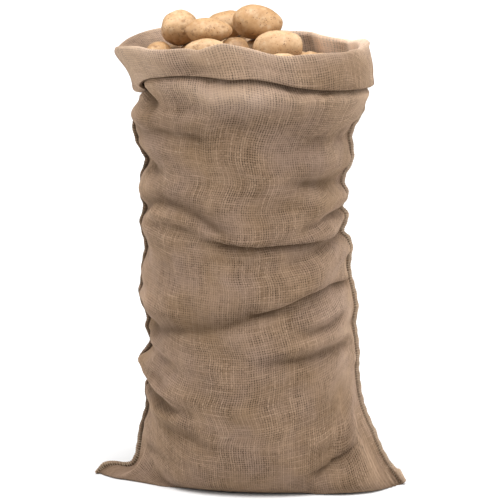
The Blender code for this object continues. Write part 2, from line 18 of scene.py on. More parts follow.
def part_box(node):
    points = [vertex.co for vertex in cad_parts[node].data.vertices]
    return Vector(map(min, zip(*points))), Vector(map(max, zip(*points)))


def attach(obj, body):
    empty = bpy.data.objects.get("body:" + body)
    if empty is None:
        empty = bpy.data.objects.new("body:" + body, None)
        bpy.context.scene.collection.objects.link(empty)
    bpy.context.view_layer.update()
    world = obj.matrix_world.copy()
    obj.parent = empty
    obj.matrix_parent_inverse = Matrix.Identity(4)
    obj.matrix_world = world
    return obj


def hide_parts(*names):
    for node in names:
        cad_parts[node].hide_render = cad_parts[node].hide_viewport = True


MM = 0.001

# Four lines up the cloth, from bottom fold to rim: (x, z) on the seams, (y, z) up the middle of each panel.
LEFT_SEAM = [
    (-279, 5), (-275, 12), (-263, 17), (-248, 17), (-233, 14), (-219, 17), (-210, 29), (-206, 45),
    (-203, 64), (-200, 84), (-195, 103), (-189, 122), (-186, 142), (-188, 158), (-187, 175), (-176, 194),
    (-199, 221), (-183, 244), (-178, 262), (-187, 282), (-184, 304), (-192, 325), (-199, 347), (-195, 372),
    (-193, 400), (-189, 420), (-187, 439), (-192, 461), (-196, 484), (-189, 506), (-194, 528), (-196, 545),
    (-193, 573), (-185, 597), (-191, 614), (-202, 635), (-208, 658), (-207, 680), (-197, 699), (-191, 714),
    (-196, 735), (-203, 757), (-216, 780), (-236, 802),
]
RIGHT_SEAM = [
    (281, 7), (271, 21), (258, 38), (246, 56), (237, 74), (230, 92), (220, 113), (211, 135),
    (204, 160), (200, 185), (197, 215), (198, 240), (196, 262), (193, 285), (191, 304), (195, 325),
    (193, 345), (187, 372), (181, 394), (181, 420), (184, 438), (180, 456), (168, 470), (174, 488),
    (176, 502), (165, 517), (174, 531), (175, 546), (168, 563), (173, 580), (184, 600), (185, 618),
    (182, 645), (189, 666), (203, 690), (207, 712), (211, 735), (209, 760), (206, 790), (203, 815),
]
FRONT_LINE = [
    (0, 1.2), (-60, 1.2), (-110, 1.2), (-133, 6), (-151, 20), (-163, 39), (-172, 66), (-179, 105),
    (-184, 160), (-187, 240), (-187, 330), (-184, 420), (-181, 520), (-178, 620), (-174, 700), (-169, 760),
    (-163, 815),
]
BACK_LINE = [
    (0, 1.2), (60, 1.2), (110, 1.2), (133, 6), (151, 20), (163, 39), (172, 66), (180, 105),
    (186, 160), (190, 250), (187, 340), (183, 430), (185, 530), (180, 630), (175, 700), (167, 760),
    (158, 820),
]
# How far the rim rises and dips along each panel: (t, mm).
FRONT_RIM = [
    (-1, -7), (-0.94, 0), (-0.86, 4), (-0.6, 7), (-0.52, 6), (-0.44, 2), (-0.36, 1), (-0.22, 3),
    (-0.15, 0), (-0.09, 6), (-0.02, 12), (0.05, 8), (0.11, 4), (0.17, -2), (0.24, -8), (0.31, -11),
    (0.4, -9), (0.55, -8), (0.7, -9), (0.79, -6), (0.9, -6), (1, 7),
]
BACK_RIM = [
    (-1, -7), (-0.8, 12), (-0.6, 20), (-0.3, 20), (0, 8), (0.3, 4), (0.4, 4), (0.5, -3), (0.62, -4),
    (0.76, 1), (0.9, 7), (1, 7),
]
# Height of the cuff's lower edge above the floor: (t, z).
FRONT_CUFF = [
    (-1, 723), (-0.9, 724), (-0.82, 730), (-0.74, 743), (-0.66, 752), (-0.56, 759), (-0.46, 763), (-0.4, 766),
    (-0.28, 769), (-0.15, 769), (-0.03, 766), (0.08, 767), (0.2, 761), (0.31, 752), (0.43, 746), (0.58, 742),
    (0.77, 740), (1, 738),
]
BACK_CUFF = [(-1, 723), (-0.7, 745), (-0.45, 762), (-0.15, 756), (0.2, 765), (0.5, 748), (0.8, 740), (1, 738)]
# The swelling below the front of the cuff: (t, how far down its crest is, how far it stands out).
SWELLING = [
    (-1, 10, 12), (-0.6, 12, 12), (-0.35, 16, 16), (-0.15, 34, 24), (0.08, 38, 27), (0.18, 22, 25),
    (0.26, 12, 23), (0.4, 9, 19), (0.85, 8, 15), (1, 8, 7),
]
# How far the front of the cuff draws in, or flares out, towards its lower edge: (t, share).
DRAWN_IN = [(-0.75, 0), (-0.5, 0.3), (-0.2, 0.35), (-0.04, 0.05), (0.1, -0.03), (0.28, -0.3), (0.42, 0)]
# Where the cloth leaves the floor: (t, f).
LEAVES_FLOOR = [
    (-1, 0.0), (-0.92, 0.014), (-0.84, 0.03), (-0.76, 0.053), (-0.68, 0.078), (-0.59, 0.105), (-0.48, 0.124),
    (0, 0.12), (0.57, 0.124), (0.79, 0.098), (0.9, 0.054), (0.97, 0.02), (1, 0.0),
]
# How far out the cloth on the floor reaches, left and right.
FLOOR_HALF = (-288, 291)
# How far forward of the middle the corner ears lie, and the f at which the seams are back in line.
EARS_FORWARD = 18
EARS_END = 0.13
# How square the base is: 0 for a half ellipse.
BASE_BOXY = 0.5

# A soft fold is a ridge or a valley, and a tuck is a lip that hangs over a valley. path is (t, z) points
# along it, raised and sunk how far it stands out and goes in, and up and down its widths above and below.
Fold = namedtuple("Fold", "kind path raised sunk up down")
FRONT_FOLDS = [Fold(*fold) for fold in (
    ("soft", [(-0.92, 743), (-0.82, 734), (-0.71, 721), (-0.6, 703)], 0, 18, 11, 12),
    ("soft", [(-0.95, 662), (-0.65, 656), (-0.48, 661), (-0.31, 660), (-0.12, 652)], 0, 8, 9, 20),
    ("soft", [(-0.95, 688), (-0.65, 684), (-0.48, 690), (-0.31, 689), (-0.12, 680)], 4, 0, 16, 10),
    ("soft", [(-0.95, 620), (-0.81, 600), (-0.6, 578)], 0, 7, 14, 14),
    ("soft", [(-0.85, 514), (-0.54, 534), (-0.29, 524), (-0.12, 504), (0.0, 490)], 0, 10, 18, 13),
    ("soft", [(-0.95, 496), (-0.44, 512), (-0.22, 497), (-0.08, 482)], 7, 0, 14, 11),
    ("tuck", [(-0.12, 481), (0.0, 475), (0.1, 472), (0.2, 471), (0.4, 472), (0.6, 472)], 8, 8, 30, 16),
    ("tuck", [(0.6, 472), (0.75, 475), (0.86, 484), (0.96, 494)], 5, 3, 24, 10),
    ("soft", [(0.45, 655), (0.67, 661), (0.9, 667)], 0, 7, 16, 14),
    ("soft", [(0.36, 578), (0.5, 577), (0.62, 577), (0.76, 580), (0.95, 588)], 0, 12, 15, 15),
    ("soft", [(0.45, 612), (0.7, 622), (0.95, 632)], 5, 0, 18, 14),
    ("soft", [(0.45, 540), (0.7, 543), (0.95, 548)], 5, 0, 18, 16),
    ("tuck", [(0.7, 514), (0.84, 522), (0.96, 530)], 4, 4, 12, 12),
    (
        "tuck",
        [
            (0.16, 346), (0.25, 354), (0.35, 366), (0.46, 378), (0.58, 384), (0.7, 391), (0.84, 391),
            (0.95, 387),
        ],
        8, 7, 28, 18,
    ),
    (
        "soft",
        [(-0.95, 291), (-0.52, 303), (-0.33, 306), (-0.12, 314), (0.02, 325), (0.14, 338), (0.24, 346)],
        0, 11, 20, 17,
    ),
    ("soft", [(0.5, 322), (0.62, 329), (0.78, 343)], 5, 0, 9, 8),
    ("soft", [(0.48, 304), (0.62, 311), (0.76, 324)], 0, 6, 9, 9),
    ("soft", [(0.3, 270), (0.54, 283), (0.92, 291)], 6, 0, 14, 10),
    ("soft", [(0.14, 250), (0.3, 258), (0.48, 260), (0.64, 266), (0.85, 271)], 0, 7, 13, 13),
    ("soft", [(-0.92, 224), (-0.62, 207), (-0.45, 191)], 0, 8, 9, 10),
    ("soft", [(-0.9, 207), (-0.62, 190), (-0.42, 172)], 6, 0, 9, 8),
    ("soft", [(-0.94, 180), (-0.73, 165), (-0.48, 150)], 0, 7, 9, 10),
    ("soft", [(-0.75, 148), (-0.51, 138), (-0.3, 130)], 4, 0, 12, 12),
    ("tuck", [(0.42, 43), (0.56, 55), (0.67, 71), (0.77, 84), (0.86, 92)], 2, 12, 20, 16),
    ("soft", [(0.42, 96), (0.66, 112), (0.88, 128)], 6, 0, 16, 14),
    ("soft", [(-0.62, 126), (-0.42, 113), (-0.27, 100), (-0.16, 86)], 0, 8, 15, 15),
    ("soft", [(-0.9, 66), (-0.7, 62), (-0.5, 48)], 0, 5, 12, 10),
)]
BACK_FOLDS = [Fold(*fold) for fold in (
    ("tuck", [(-0.99, 801), (-0.86, 797), (-0.76, 790)], 4, 4, 10, 8),
    ("tuck", [(-0.95, 640), (-0.6, 632), (-0.2, 640), (0.15, 652)], 6, 5, 24, 16),
    ("soft", [(0.3, 668), (0.6, 658), (0.95, 662)], 0, 7, 14, 14),
    ("tuck", [(-0.1, 548), (0.25, 540), (0.6, 552), (0.95, 563)], 8, 6, 28, 16),
    ("soft", [(-0.95, 566), (-0.6, 556), (-0.3, 540)], 0, 7, 14, 12),
    ("soft", [(-0.95, 506), (-0.55, 496), (-0.1, 478), (0.3, 470)], 0, 6, 14, 14),
    ("tuck", [(-0.95, 405), (-0.6, 398), (-0.2, 408), (0.2, 396), (0.5, 402)], 8, 7, 28, 16),
    ("soft", [(0.4, 360), (0.7, 378), (0.95, 390)], 0, 8, 14, 12),
    ("soft", [(-0.3, 300), (0.1, 288), (0.5, 300), (0.95, 306)], 0, 7, 18, 16),
    ("soft", [(-0.95, 262), (-0.65, 250), (-0.3, 232)], 0, 7, 14, 12),
    ("soft", [(-0.85, 110), (-0.65, 86), (-0.45, 66)], 0, 8, 12, 10),
    ("soft", [(0.42, 70), (0.65, 96), (0.88, 120)], 0, 8, 12, 10),
)]
# Upright pleats inside the back of the mouth: (t, how far it stands out, its half-width in t).
RIM_PLEATS = [(0.3, 14, 0.07), (0.41, -14, 0.07), (0.55, 15, 0.09), (0.76, -8, 0.09), (-0.7, -5, 0.12)]
# The height that they reach up to, and how far below it they start.
PLEAT_TOP = 815
PLEAT_REACH = 110
# Half the width of the flat sack, and half the space between the two layers where they lie together.
HALF_WIDTH = 300
LAYERS_APART = 1.3
# Slow waves in the cloth, from the potatoes behind it: (size, per mm round, per mm up, start).
LUMPS = [
    (2.2, 0.034, 0.041, 0.4),
    (1.8, -0.047, 0.032, 2.1),
    (1.4, 0.071, 0.055, 4.0),
    (1.2, -0.02, 0.083, 1.2),
]

# The cloth's thickness, and its length up the middle of a panel, from the bottom fold to the rim.
CLOTH = 2.0
GUIDE_LENGTH = 925.0
# The cuff: the radius of its turn at the rim, how far its middle and its hem stand off the wall, the height
# of the turn at its lower edge, and how far the hem goes up behind it.
RIM_TURN = 7.5
CUFF_STANDS = 18.0
HEM_STANDS = 6.0
EDGE_TURN = 6.0
HEM_TUCK = 26.0
# How far it is pinched in at the left seam and boxed out at the right, and the half-axes of the mouth.
CUFF_PINCHED = 6.5
RIM_BOXED = 3
MOUTH_OVAL = (215, 165)
# The standing seams: how far they stand out, how far they lean back, left (-1) and right (1), and how much of
# them is left at the tips of the ears.
SEAM_STANDS = 8.5
SEAM_LEANS_BACK = {-1: 0.1, 1: 0.35}
SEAM_STUB = {-1: 0.4, 1: 0.5}
# Half of a standing seam's section, rolled at its edge: (share of its reach, how far off its middle).
SEAM_SECTION = [(0.25, -0.9), (0.72, -1.9), (1.0, -0.9)]
# How much thicker the seam's rolled edge is at the tip of the right ear, where the yarn gathers it.
EAR_BALL = 3.0
# The f over which the standing seams taper away under the cuff, and the rows of points below it.
SEAM_ENDS = (0.88, 0.904)
SEWN_ROWS = 172

# Painted tones of light and shade: 1 is full painted shade, 0 bare cloth and less is painted light. Those of
# folds are for each mm sunk or raised: painted shade in a valley, painted light on a ridge and painted shade
# below it, painted shade in a tuck's valley, and painted shade and light across a pleat.
VALLEY_TONE = 0.042
RIDGE_TONE = 0.012
RIDGE_SHADE = 0.03
TUCK_TONE = 0.045
PLEAT_TONE = 0.035
# Painted shade under a tuck's lip and in the deepest hollows, and the cloth darker along the floor.
LIP_TONE = 0.85
HOLLOW_TONE = 0.3
FLOOR_TONE = 0.22
# Painted shade in the grooves by the left and right seams, and in the crease below the cuff's left and right.
GROOVE_TONE = (0.95, 0.0)
CREASE_TONE = (0.85, 0.3)
# Painted light along the rim and inside the mouth, above this height, for light on the rim and through the
# open weave: (t, how pale).
INSIDE_FROM = 765
RIM_LIGHT = {
    -1: [(-1, 0), (-0.4, 0.4), (0.3, 0.5), (0.7, 0.3), (0.9, 0.7), (1, 1)],
    1: [(-1, 0.35), (-0.75, 0.35), (-0.5, 0.7), (0, 1), (0.35, 1), (0.48, 1.35), (0.8, 1.6), (1, 1.3)],
}
# Painted light down the front of the cuff: (t, how pale).
CUFF_LIGHT = [
    (-1, 0.35), (-0.5, 0.5), (-0.3, 0.2), (0.05, 0.25), (0.3, 0.2), (0.5, 0.05), (0.85, 0.1), (1, 0.4),
]
# Painted light at the front's left and right sides, turning to painted shade low down, and on the right
# seam's edge.
SIDE_LIGHT = (0.12, 0.2)
EDGE_LIGHT = 0.6
# The rows over the rim with painted light, and those of the hem behind the cuff, in full painted shade.
OVER_RIM_ROWS = 15
HEM_ROWS = 9
# How far the crease's painted shade reaches below the cuff's edge: (t, mm).
CREASE_REACH = [(-1, 3), (-0.8, 4.5), (-0.6, 5), (-0.3, 5), (-0.12, 3.5), (0.05, 2.5), (0.8, 2), (1, 1.6)]

# Columns of points across a panel, and their t: the front's from the left seam, the back's from the right.
PANEL_COLUMNS = 96
PANEL_T = {side: -side * np.linspace(-1.0, 1.0, PANEL_COLUMNS + 1) for side in (-1, 1)}
# The weave in metres: a panel's width between the roots of its seams, the cloth in a standing seam with the
# points across it, and the pitch of the yarns.
PANEL_WIDTH = 0.586
SEAM_WIDTH = 0.022
ACROSS_SEAM = np.array([0.0035, 0.008, 0.0105, 0.0115, 0.014, 0.0185])
YARN_PITCH = 0.0043

# A turn of the overcast yarn: how far it passes the seam's edge, half its width across the seam, and the
# scale that makes its ring 2 mm thick.
YARN_PAST = 1.0
YARN_ACROSS = 4.1
YARN_THICK = 6.0

Potato = namedtuple("Potato", "long broad high turn tilt")
POTATOES = [Potato(*sizes) for sizes in (
    (82, 58, 58, 10, 4), (70, 52, 38, -6, 3), (58, 46, 36, 4, 0), (60, 48, 40, -32, 0), (70, 50, 53, 84, -4),
    (64, 54, 42, 6, 0), (60, 57, 54, 35, 0), (94, 64, 66, -10, 8), (66, 46, 51, 58, -4), (66, 54, 42, 72, 0),
    (58, 60, 44, 6, 0), (70, 60, 45, -8, 0), (66, 58, 30, 100, 4), (70, 50, 48, 95, 0), (66, 48, 40, 66, 0),
    (72, 52, 46, 4, 0), (66, 62, 48, 84, 0), (70, 54, 42, -6, 0), (68, 54, 35, -30, 4), (62, 40, 44, 4, 0),
    (58, 32, 36, -8, 0), (44, 26, 36, 30, 0), (78, 68, 66, 75, -8), (84, 58, 48, 6, 0), (76, 62, 52, 25, 0),
    (94, 66, 62, 8, -10),
)]
# How brown the skins of some potatoes are, by number, from pale 0 to brown 1; above that, up to 1.5, is
# painted shade on potatoes that lie in shadow.
TAN_AND_SHADE = {
    5: 1.1, 7: 1.5, 8: 0.3, 10: 1.5, 12: 1.4, 15: 1.4, 17: 1.4, 23: 0.5, 24: 0.8, 25: 0.85, 26: 0.95,
}
# The layer below: the flat top of its bed, the bed's size for the solid's, and the half-axes of its oval.
BED_TOP = 735
BED_INSET = 0.97
BELOW_OVAL = (178, 152)

# Colours, linear. Hessian: its yarns, patches, slubs, painted shade in its gaps, stray fibres, painted shade,
# and painted light.
JUTE_DARK, JUTE_PALE = (0.215, 0.136, 0.082), (0.365, 0.248, 0.163)
JUTE_GREY, JUTE_OLIVE = (0.31, 0.215, 0.165), (0.27, 0.172, 0.095)
SLUB, GAP_SHADE, FIBRE = (0.45, 0.345, 0.24), (0.035, 0.019, 0.01), (0.12, 0.075, 0.042)
SHADE, PAINTED_LIGHT = (0.065, 0.036, 0.017), (0.66, 0.56, 0.46)
# Sewing yarn, each from dark to pale: darkened with painted shade for the left seam, plain for the right, and
# another near the floor at the bottom corners; and its stray fibres.
SHADED_YARN = ((0.055, 0.037, 0.024), (0.17, 0.12, 0.08))
PLAIN_YARN = ((0.33, 0.24, 0.165), (0.5, 0.39, 0.28))
CORNER_YARN = ((0.29, 0.21, 0.145), (0.44, 0.345, 0.25))
YARN_FIBRE = (0.06, 0.038, 0.022)
# Potato skin, pale and brown, each from dark to pale; then painted shade for potatoes in shadow, and its
# marks.
PALE_SKIN = ((0.5, 0.32, 0.17), (0.68, 0.48, 0.29))
TAN_SKIN = ((0.36, 0.19, 0.075), (0.52, 0.32, 0.155))
PAINTED_SHADE_SKIN, MOTTLE, BLOOM = (0.14, 0.07, 0.03), (0.36, 0.195, 0.085), (0.64, 0.47, 0.3)
SOIL, SPECK, SCAR, EYE = (0.2, 0.105, 0.05), (0.13, 0.06, 0.027), (0.20, 0.10, 0.045), (0.22, 0.11, 0.045)


class Value:
    """A number socket that sums, products and comparisons can be written with."""

    def __init__(self, look, socket):
        self.look, self.socket = look, socket

    def maths(self, operation, *others):
        return self.look.node("Math", {"operation": operation}, dict(enumerate((self, *others))))

    def __add__(self, other):
        return self.maths("ADD", other)

    def __sub__(self, other):
        return self.maths("SUBTRACT", other)

    def __rsub__(self, other):
        return (self * -1) + other

    def __mul__(self, other):
        return self.maths("MULTIPLY", other)

    def __truediv__(self, other):
        return self.maths("DIVIDE", other)

    def __gt__(self, other):
        return self.maths("GREATER_THAN", other)

    def __pow__(self, other):
        return self.maths("POWER", other)

    __radd__, __rmul__ = __add__, __mul__

    def floor(self):
        return self.maths("FLOOR")

    def cosine(self):
        return self.maths("COSINE")

    def root(self):
        return self.maths("SQRT")

    def size(self):
        return self.maths("ABSOLUTE")

    def at_least(self, other):
        return self.maths("MAXIMUM", other)

    def at_most(self, other):
        return self.maths("MINIMUM", other)

    def spread(self, low, high, to_low=0.0, to_high=1.0):
        """Maps low to to_low and high to to_high, and holds there."""
        values = {0: self, 1: low, 2: high, 3: to_low, 4: to_high}
        return self.look.node("MapRange", {"clamp": True}, values)


class Look:
    """A material in the making."""

    def __init__(self, name, **constants):
        self.material = bpy.data.materials.new(name)
        self.material.use_nodes = True
        self.tree = self.material.node_tree
        self.shader = self.tree.nodes["Principled BSDF"]
        for socket, value in constants.items():
            self.shader.inputs[socket.replace("_", " ")].default_value = value

    def node(self, kind, settings=None, sockets=None, output=0):
        """A new node: its settings first, then the values or links of its sockets."""
        node = self.tree.nodes.new("ShaderNode" + kind)
        for name, value in (settings or {}).items():
            setattr(node, name, value)
        for name, value in (sockets or {}).items():
            if isinstance(value, Value):
                self.tree.links.new(value.socket, node.inputs[name])
            else:
                node.inputs[name].default_value = value
        return Value(self, node.outputs[output])

    def parts(self, vector):
        node = self.node("SeparateXYZ", sockets={0: vector}).socket.node
        return [Value(self, output) for output in node.outputs]

    def vector(self, x, y, z=0.0):
        return self.node("CombineXYZ", sockets={0: x, 1: y, 2: z})

    def attribute(self, name):
        return self.node("Attribute", {"attribute_name": name}, output=2)

    def object_place(self):
        return self.node("TexCoord", output=3)

    def noise(self, where, scale, detail=2.0, roughness=0.5):
        sockets = {"Vector": where, "Scale": scale, "Detail": detail, "Roughness": roughness}
        return self.node("TexNoise", sockets=sockets)

    def mix(self, share, a, b):
        a, b = [(*c, 1.0) if isinstance(c, tuple) else c for c in (a, b)]
        return self.node("Mix", {"data_type": "RGBA"}, {0: share, 6: a, 7: b}, output=2)

    def feed(self, socket, value):
        self.tree.links.new(value.socket, self.shader.inputs[socket])

    def relief(self, height, distance, strength):
        sockets = {"Height": height, "Distance": distance, "Strength": strength}
        self.feed("Normal", self.node("Bump", sockets=sockets))


def smooth(s):
    s = np.clip(s, 0.0, 1.0)
    return s * s * (3.0 - 2.0 * s)


def bell(distance, width):
    return np.exp(-((distance / width) ** 2))


def guide(points, samples=12):
    """A smooth curve through the points, as a function of the share of its length."""
    p = np.array(points, float)
    p = np.vstack([2 * p[0] - p[1], p, 2 * p[-1] - p[-2]])
    s = np.linspace(0.0, 1.0, samples, endpoint=False)[:, None]
    runs = []
    for a, b, c, d in zip(p[:-3], p[1:-2], p[2:-1], p[3:]):
        bend = (2 * a - 5 * b + 4 * c - d) * s**2 + (3 * b - a - 3 * c + d) * s**3
        runs.append(b + 0.5 * ((c - a) * s + bend))
    line = np.vstack(runs + [p[-2:-1]])
    along = np.concatenate([[0.0], np.cumsum(np.linalg.norm(np.diff(line, axis=0), axis=1))])
    along /= along[-1]
    return lambda f: np.stack([np.interp(f, along, line[:, k]) for k in (0, 1)], axis=-1)


def height_along(points):
    """A smooth height over t through a table's points, as a function of t."""
    line = guide(points, samples=60)(np.linspace(0.0, 1.0, 400))
    return lambda t: np.interp(t, line[:, 0], line[:, 1])


def evened(values, reach, mode="edge"):
    """The running mean over so many values on each side."""
    window = np.ones(2 * reach + 1) / (2 * reach + 1)
    return np.convolve(np.pad(values, reach, mode=mode), window, mode="valid")


def slack_of(line):
    """How far a seam stands out from its own course, evened over 4.5% of it each way, as a function of f."""
    f = np.linspace(0.0, 1.0, 801)
    x = line(f)[:, 0]
    even = evened(x, 36)
    stands = (x - even) * np.sign(x)
    return lambda g: np.interp(g, f, stands)


LEFT, RIGHT = guide(LEFT_SEAM), guide(RIGHT_SEAM)
PANEL = {-1: guide(FRONT_LINE), 1: guide(BACK_LINE)}
RIM = {-1: height_along(FRONT_RIM), 1: height_along(BACK_RIM)}
CUFF_EDGE = {-1: height_along(FRONT_CUFF), 1: height_along(BACK_CUFF)}
SLACK = {-1: slack_of(LEFT), 1: slack_of(RIGHT)}
LEAVES = height_along(LEAVES_FLOOR)
CREASE = height_along(CREASE_REACH)
FOLD_LINES = {
    side: [(fold, height_along(fold.path)) for fold in folds]
    for side, folds in ((-1, FRONT_FOLDS), (1, BACK_FOLDS))
}


def fold_shift(t, z, side):
    """How far the folds push the cloth out, how far their lips hang down, and their painted light and shade.
    """
    out, hang, dark = np.zeros_like(z), np.zeros_like(z), np.zeros_like(z)
    for fold, line in FOLD_LINES[side]:
        start, end = fold.path[0][0], fold.path[-1][0]
        fade = smooth((t - start + 0.1) / 0.22) * smooth((end + 0.1 - t) / 0.22)
        above = z - line(t)
        width = np.where(above > 0, fold.up, fold.down)
        hump = bell(above, width)
        if fold.kind == "soft":
            out += fade * hump * (fold.raised - fold.sunk)
            below = bell(above + 1.1 * fold.down, fold.down)
            # Painted shade in a valley and below a ridge, and painted light on the ridge.
            tone = VALLEY_TONE * fold.sunk - RIDGE_TONE * fold.raised
            dark += fade * (hump * tone + below * RIDGE_SHADE * fold.raised)
            continue
        lip = 0.5 + 0.5 * np.tanh(above / 2.5)
        out += fade * hump * (lip * fold.raised - (1 - lip) * fold.sunk)
        hang += fade * hump * lip * fold.raised
        # Painted shade along the line under the lip and in the valley below it.
        line_of_shade = LIP_TONE * bell(above + 5.5, 3.4) * min(1.0, fold.raised / 8)
        soft_shade = TUCK_TONE * fold.sunk * bell(above + 8, 16)
        dark += fade * np.maximum(line_of_shade, soft_shade)
    return out, hang, np.clip(dark, -0.3, 0.9)


def around_at(t, side):
    """The way round the sack in mm, from the middle of the front."""
    return HALF_WIDTH * t if side < 0 else 3 * HALF_WIDTH - HALF_WIDTH * t


def lumps(around, z):
    """Slow unevenness where the potatoes press against the cloth."""
    return sum(size * np.sin(a * around + b * z + start) for size, a, b, start in LUMPS)


def rough(around, z, reach_around, reach_up, seed):
    """Gradient noise stretched by a reach along each way, from about -1 to 1."""
    flat = zip(np.ravel(around) / reach_around, np.ravel(z) / reach_up)
    return np.array([noise.noise(Vector((a, b, seed))) for a, b in flat]).reshape(np.shape(z))


def crumples(around, z, t, f):
    """Small creases: level ones everywhere, and ones that run in from the slack seams."""
    level = 2.4 * rough(around + 0.3 * z, z, 95, 20, 3.1) + 1.5 * rough(around - 0.5 * z, z, 60, 13, 8.7)
    pressed = 2.4 * rough(around, z, 48, 44, 15.3)
    near = np.abs(t) ** 3
    slack = np.where(t < 0, SLACK[-1](f), SLACK[1](f))
    return level * (0.55 + 0.9 * near) + pressed + 1.1 * slack * near


def swelling(t, z):
    """How far the front stands out below the cuff, and the painted light on it there."""
    down, swell = [np.interp(t, *zip(*[(row[0], row[k]) for row in SWELLING])) for k in (1, 2)]
    under = z - CUFF_EDGE[-1](t) + down
    near_cuff = smooth((z - 640) / 60)
    out = swell * bell(under, np.where(under > 0, 0.72 * down, 42)) * near_cuff
    # Painted light on the front where it swells out below the cuff.
    pale = (0.1 + 0.013 * down) * bell(under, np.where(under > 0, 19, 27)) * near_cuff
    return out, pale


def wall(f, t, side):
    """The cloth's middle (x, y, z) and its painted light and shade, on one panel."""
    f, t = np.broadcast_arrays(np.asarray(f, float), np.asarray(t, float))
    left, right, deep = LEFT(f), RIGHT(f), PANEL[side](f)
    # The straight bottom fold opens into a rounded panel, squarer in the base. The mouth narrows to the left.
    turn = 0.5 * math.pi * t
    rounded = smooth(f / 0.26)
    across = (1 - rounded) * t + rounded * np.sin(turn)
    x = 0.5 * (left[..., 0] + right[..., 0]) + 0.5 * (right[..., 0] - left[..., 0]) * across
    in_base = 1 - smooth((f - 0.12) / 0.2)
    boxy = BASE_BOXY * (1 - 0.35 * smooth(-t / 0.5)) * in_base
    spout = 1.0 - boxy + 0.25 * smooth((f - 0.86) / 0.12) * smooth(-t)
    y = side * np.abs(deep[..., 0]) * np.cos(turn) ** spout
    # Its height goes over from that of its middle line to that of the seam.
    seam_z = np.where(t < 0, left[..., 1], right[..., 1])
    flat_until = 0.5 * in_base
    lift = smooth((np.abs(t) - flat_until) / (1 - flat_until))
    z = deep[..., 1] + (seam_z - deep[..., 1]) * lift
    # At first it lies flat on the floor, and it leaves that sooner towards the ears.
    leaves = 0.8 * LEAVES(t)
    slope = np.where(t < 0, 0.02, 0.11) * smooth((np.abs(t) - 0.3) / 0.5)
    risen = (0.13 + slope) * (1 - smooth((np.abs(t) - 0.86) / 0.14)) + 0.002
    up = smooth((f - leaves) / np.maximum(risen - leaves, 0.002))
    on_floor = np.abs(t) * np.where(t < 0, FLOOR_HALF[0], FLOOR_HALF[1])
    x = on_floor + (x - on_floor) * up
    y = side * GUIDE_LENGTH * f * (1 - up) + y * up
    z = 1.2 + (z - 1.2) * up
    # Folds, pleats, the swelling below the cuff, lumps and crumples push it out from there.
    out, hang, dark = fold_shift(t, z, side)
    if side > 0:
        pleats = sum(size * bell(t - at, half) for at, size, half in RIM_PLEATS)
        near_rim = smooth((z - PLEAT_TOP + PLEAT_REACH) / PLEAT_REACH)
        out += pleats * near_rim
        # Painted shade in the pleats' hollows and painted light on their ridges.
        dark = dark + PLEAT_TONE * pleats * near_rim
    else:
        swell, pale = swelling(t, z)
        out += swell
        # Painted light from the swelling and at the front's sides, and painted shade low at the sides.
        sides = SIDE_LIGHT[0] * smooth((-t - 0.6) / 0.3) + SIDE_LIGHT[1] * smooth((t - 0.45) / 0.35)
        dark = dark - pale - sides * (1.6 * smooth((z - 110) / 140) - 0.6)
    around = around_at(t, side)
    calm = smooth((z - 60) / 80) * (1 - 0.6 * smooth((z - 700) / 60))
    out += (lumps(around, z) * 0.6 + crumples(around, z, t, f)) * calm
    # They die out at the floor and at the seams, and the two layers never meet.
    off_floor = smooth((z - 20) / 50) * smooth((1 - np.abs(t)) / 0.05)
    out, hang = out * off_floor, hang * off_floor
    dark = dark * off_floor + FLOOR_TONE * (1 - smooth(z / 50))
    x += out * np.sin(turn)
    y += side * out * np.cos(turn)
    y = side * np.maximum(side * y, LAYERS_APART * smooth(f / 0.01))
    z = z - hang + RIM[side](t) * smooth((f - 0.62) / 0.38)
    y = y - EARS_FORWARD * t * t * (1 - smooth(f / EARS_END))
    return np.stack([x, y, z, dark], axis=-1)


def cuff_turns():
    """Down the cuff: (mm that it stands off the wall, mm below the rim, and share of its height besides)."""
    turns = []
    for angle in np.linspace(15, 165, 10):
        a = math.radians(angle)
        turns.append((RIM_TURN * (1 - math.cos(a)), RIM_TURN * (1 - math.sin(a)), 0.0))
    for share in np.linspace(0.06, 0.94, 14):
        bulge = math.sin(math.pi * min(1.0, share / 1.2))
        stands = 2 * RIM_TURN + (CUFF_STANDS - 2 * RIM_TURN) * bulge
        turns.append((stands, RIM_TURN - share * (RIM_TURN + EDGE_TURN), share))
    middle = 0.5 * (CUFF_STANDS - 2.0 + HEM_STANDS)
    for angle in np.linspace(10, 180, 10):
        a = math.radians(angle)
        turns.append((middle + (middle - HEM_STANDS) * math.cos(a), EDGE_TURN * (math.sin(a) - 1), 1.0))
    for up in (0.35, 0.7, 1.0):
        turns.append((HEM_STANDS, -EDGE_TURN - up * HEM_TUCK, 1.0))
    return turns


def cuff(t, side):
    """Rows of the turned-down cuff over the columns t of one panel."""
    rim = wall(1.0, t, side)[..., 2]
    tall = rim - CUFF_EDGE[side](t)
    turn = 0.5 * math.pi * t
    away = np.stack([np.sin(turn) / MOUTH_OVAL[0], side * np.cos(turn) / MOUTH_OVAL[1]], axis=-1)
    away /= np.linalg.norm(away, axis=-1)[..., None]
    around = around_at(t, side)
    rows = []
    for stands, below, share in cuff_turns():
        down = below + share * tall
        place = wall(1.0 - down / GUIDE_LENGTH, t, side)
        swell = 2.2 * rough(around, down, 60, 38, 21.0) + 1.2 * rough(around, down, 24, 20, 33.0)
        pinched = CUFF_PINCHED * math.sin(math.pi * share) * bell(t + 1, 0.14)
        boxed = RIM_BOXED * bell(t - 1, 0.1) * (share == 0.0)
        drawn = np.interp(t, *zip(*DRAWN_IN)) * (side < 0) * smooth((share - 0.5) / 0.5)
        reach = stands * (1 - drawn) - pinched + boxed + swell * min(1.0, stands / (2 * RIM_TURN))
        place[..., :2] += away * reach[..., None]
        place[..., 2:] = np.stack([rim - down, 0 * down], axis=-1)
        rows.append(place)
    return np.array(rows)


def sewn_at(f):
    """1 where the seams stand out in full, and 0 above where they have tapered away."""
    return 1 - smooth((f - SEAM_ENDS[0]) / (SEAM_ENDS[1] - SEAM_ENDS[0]))


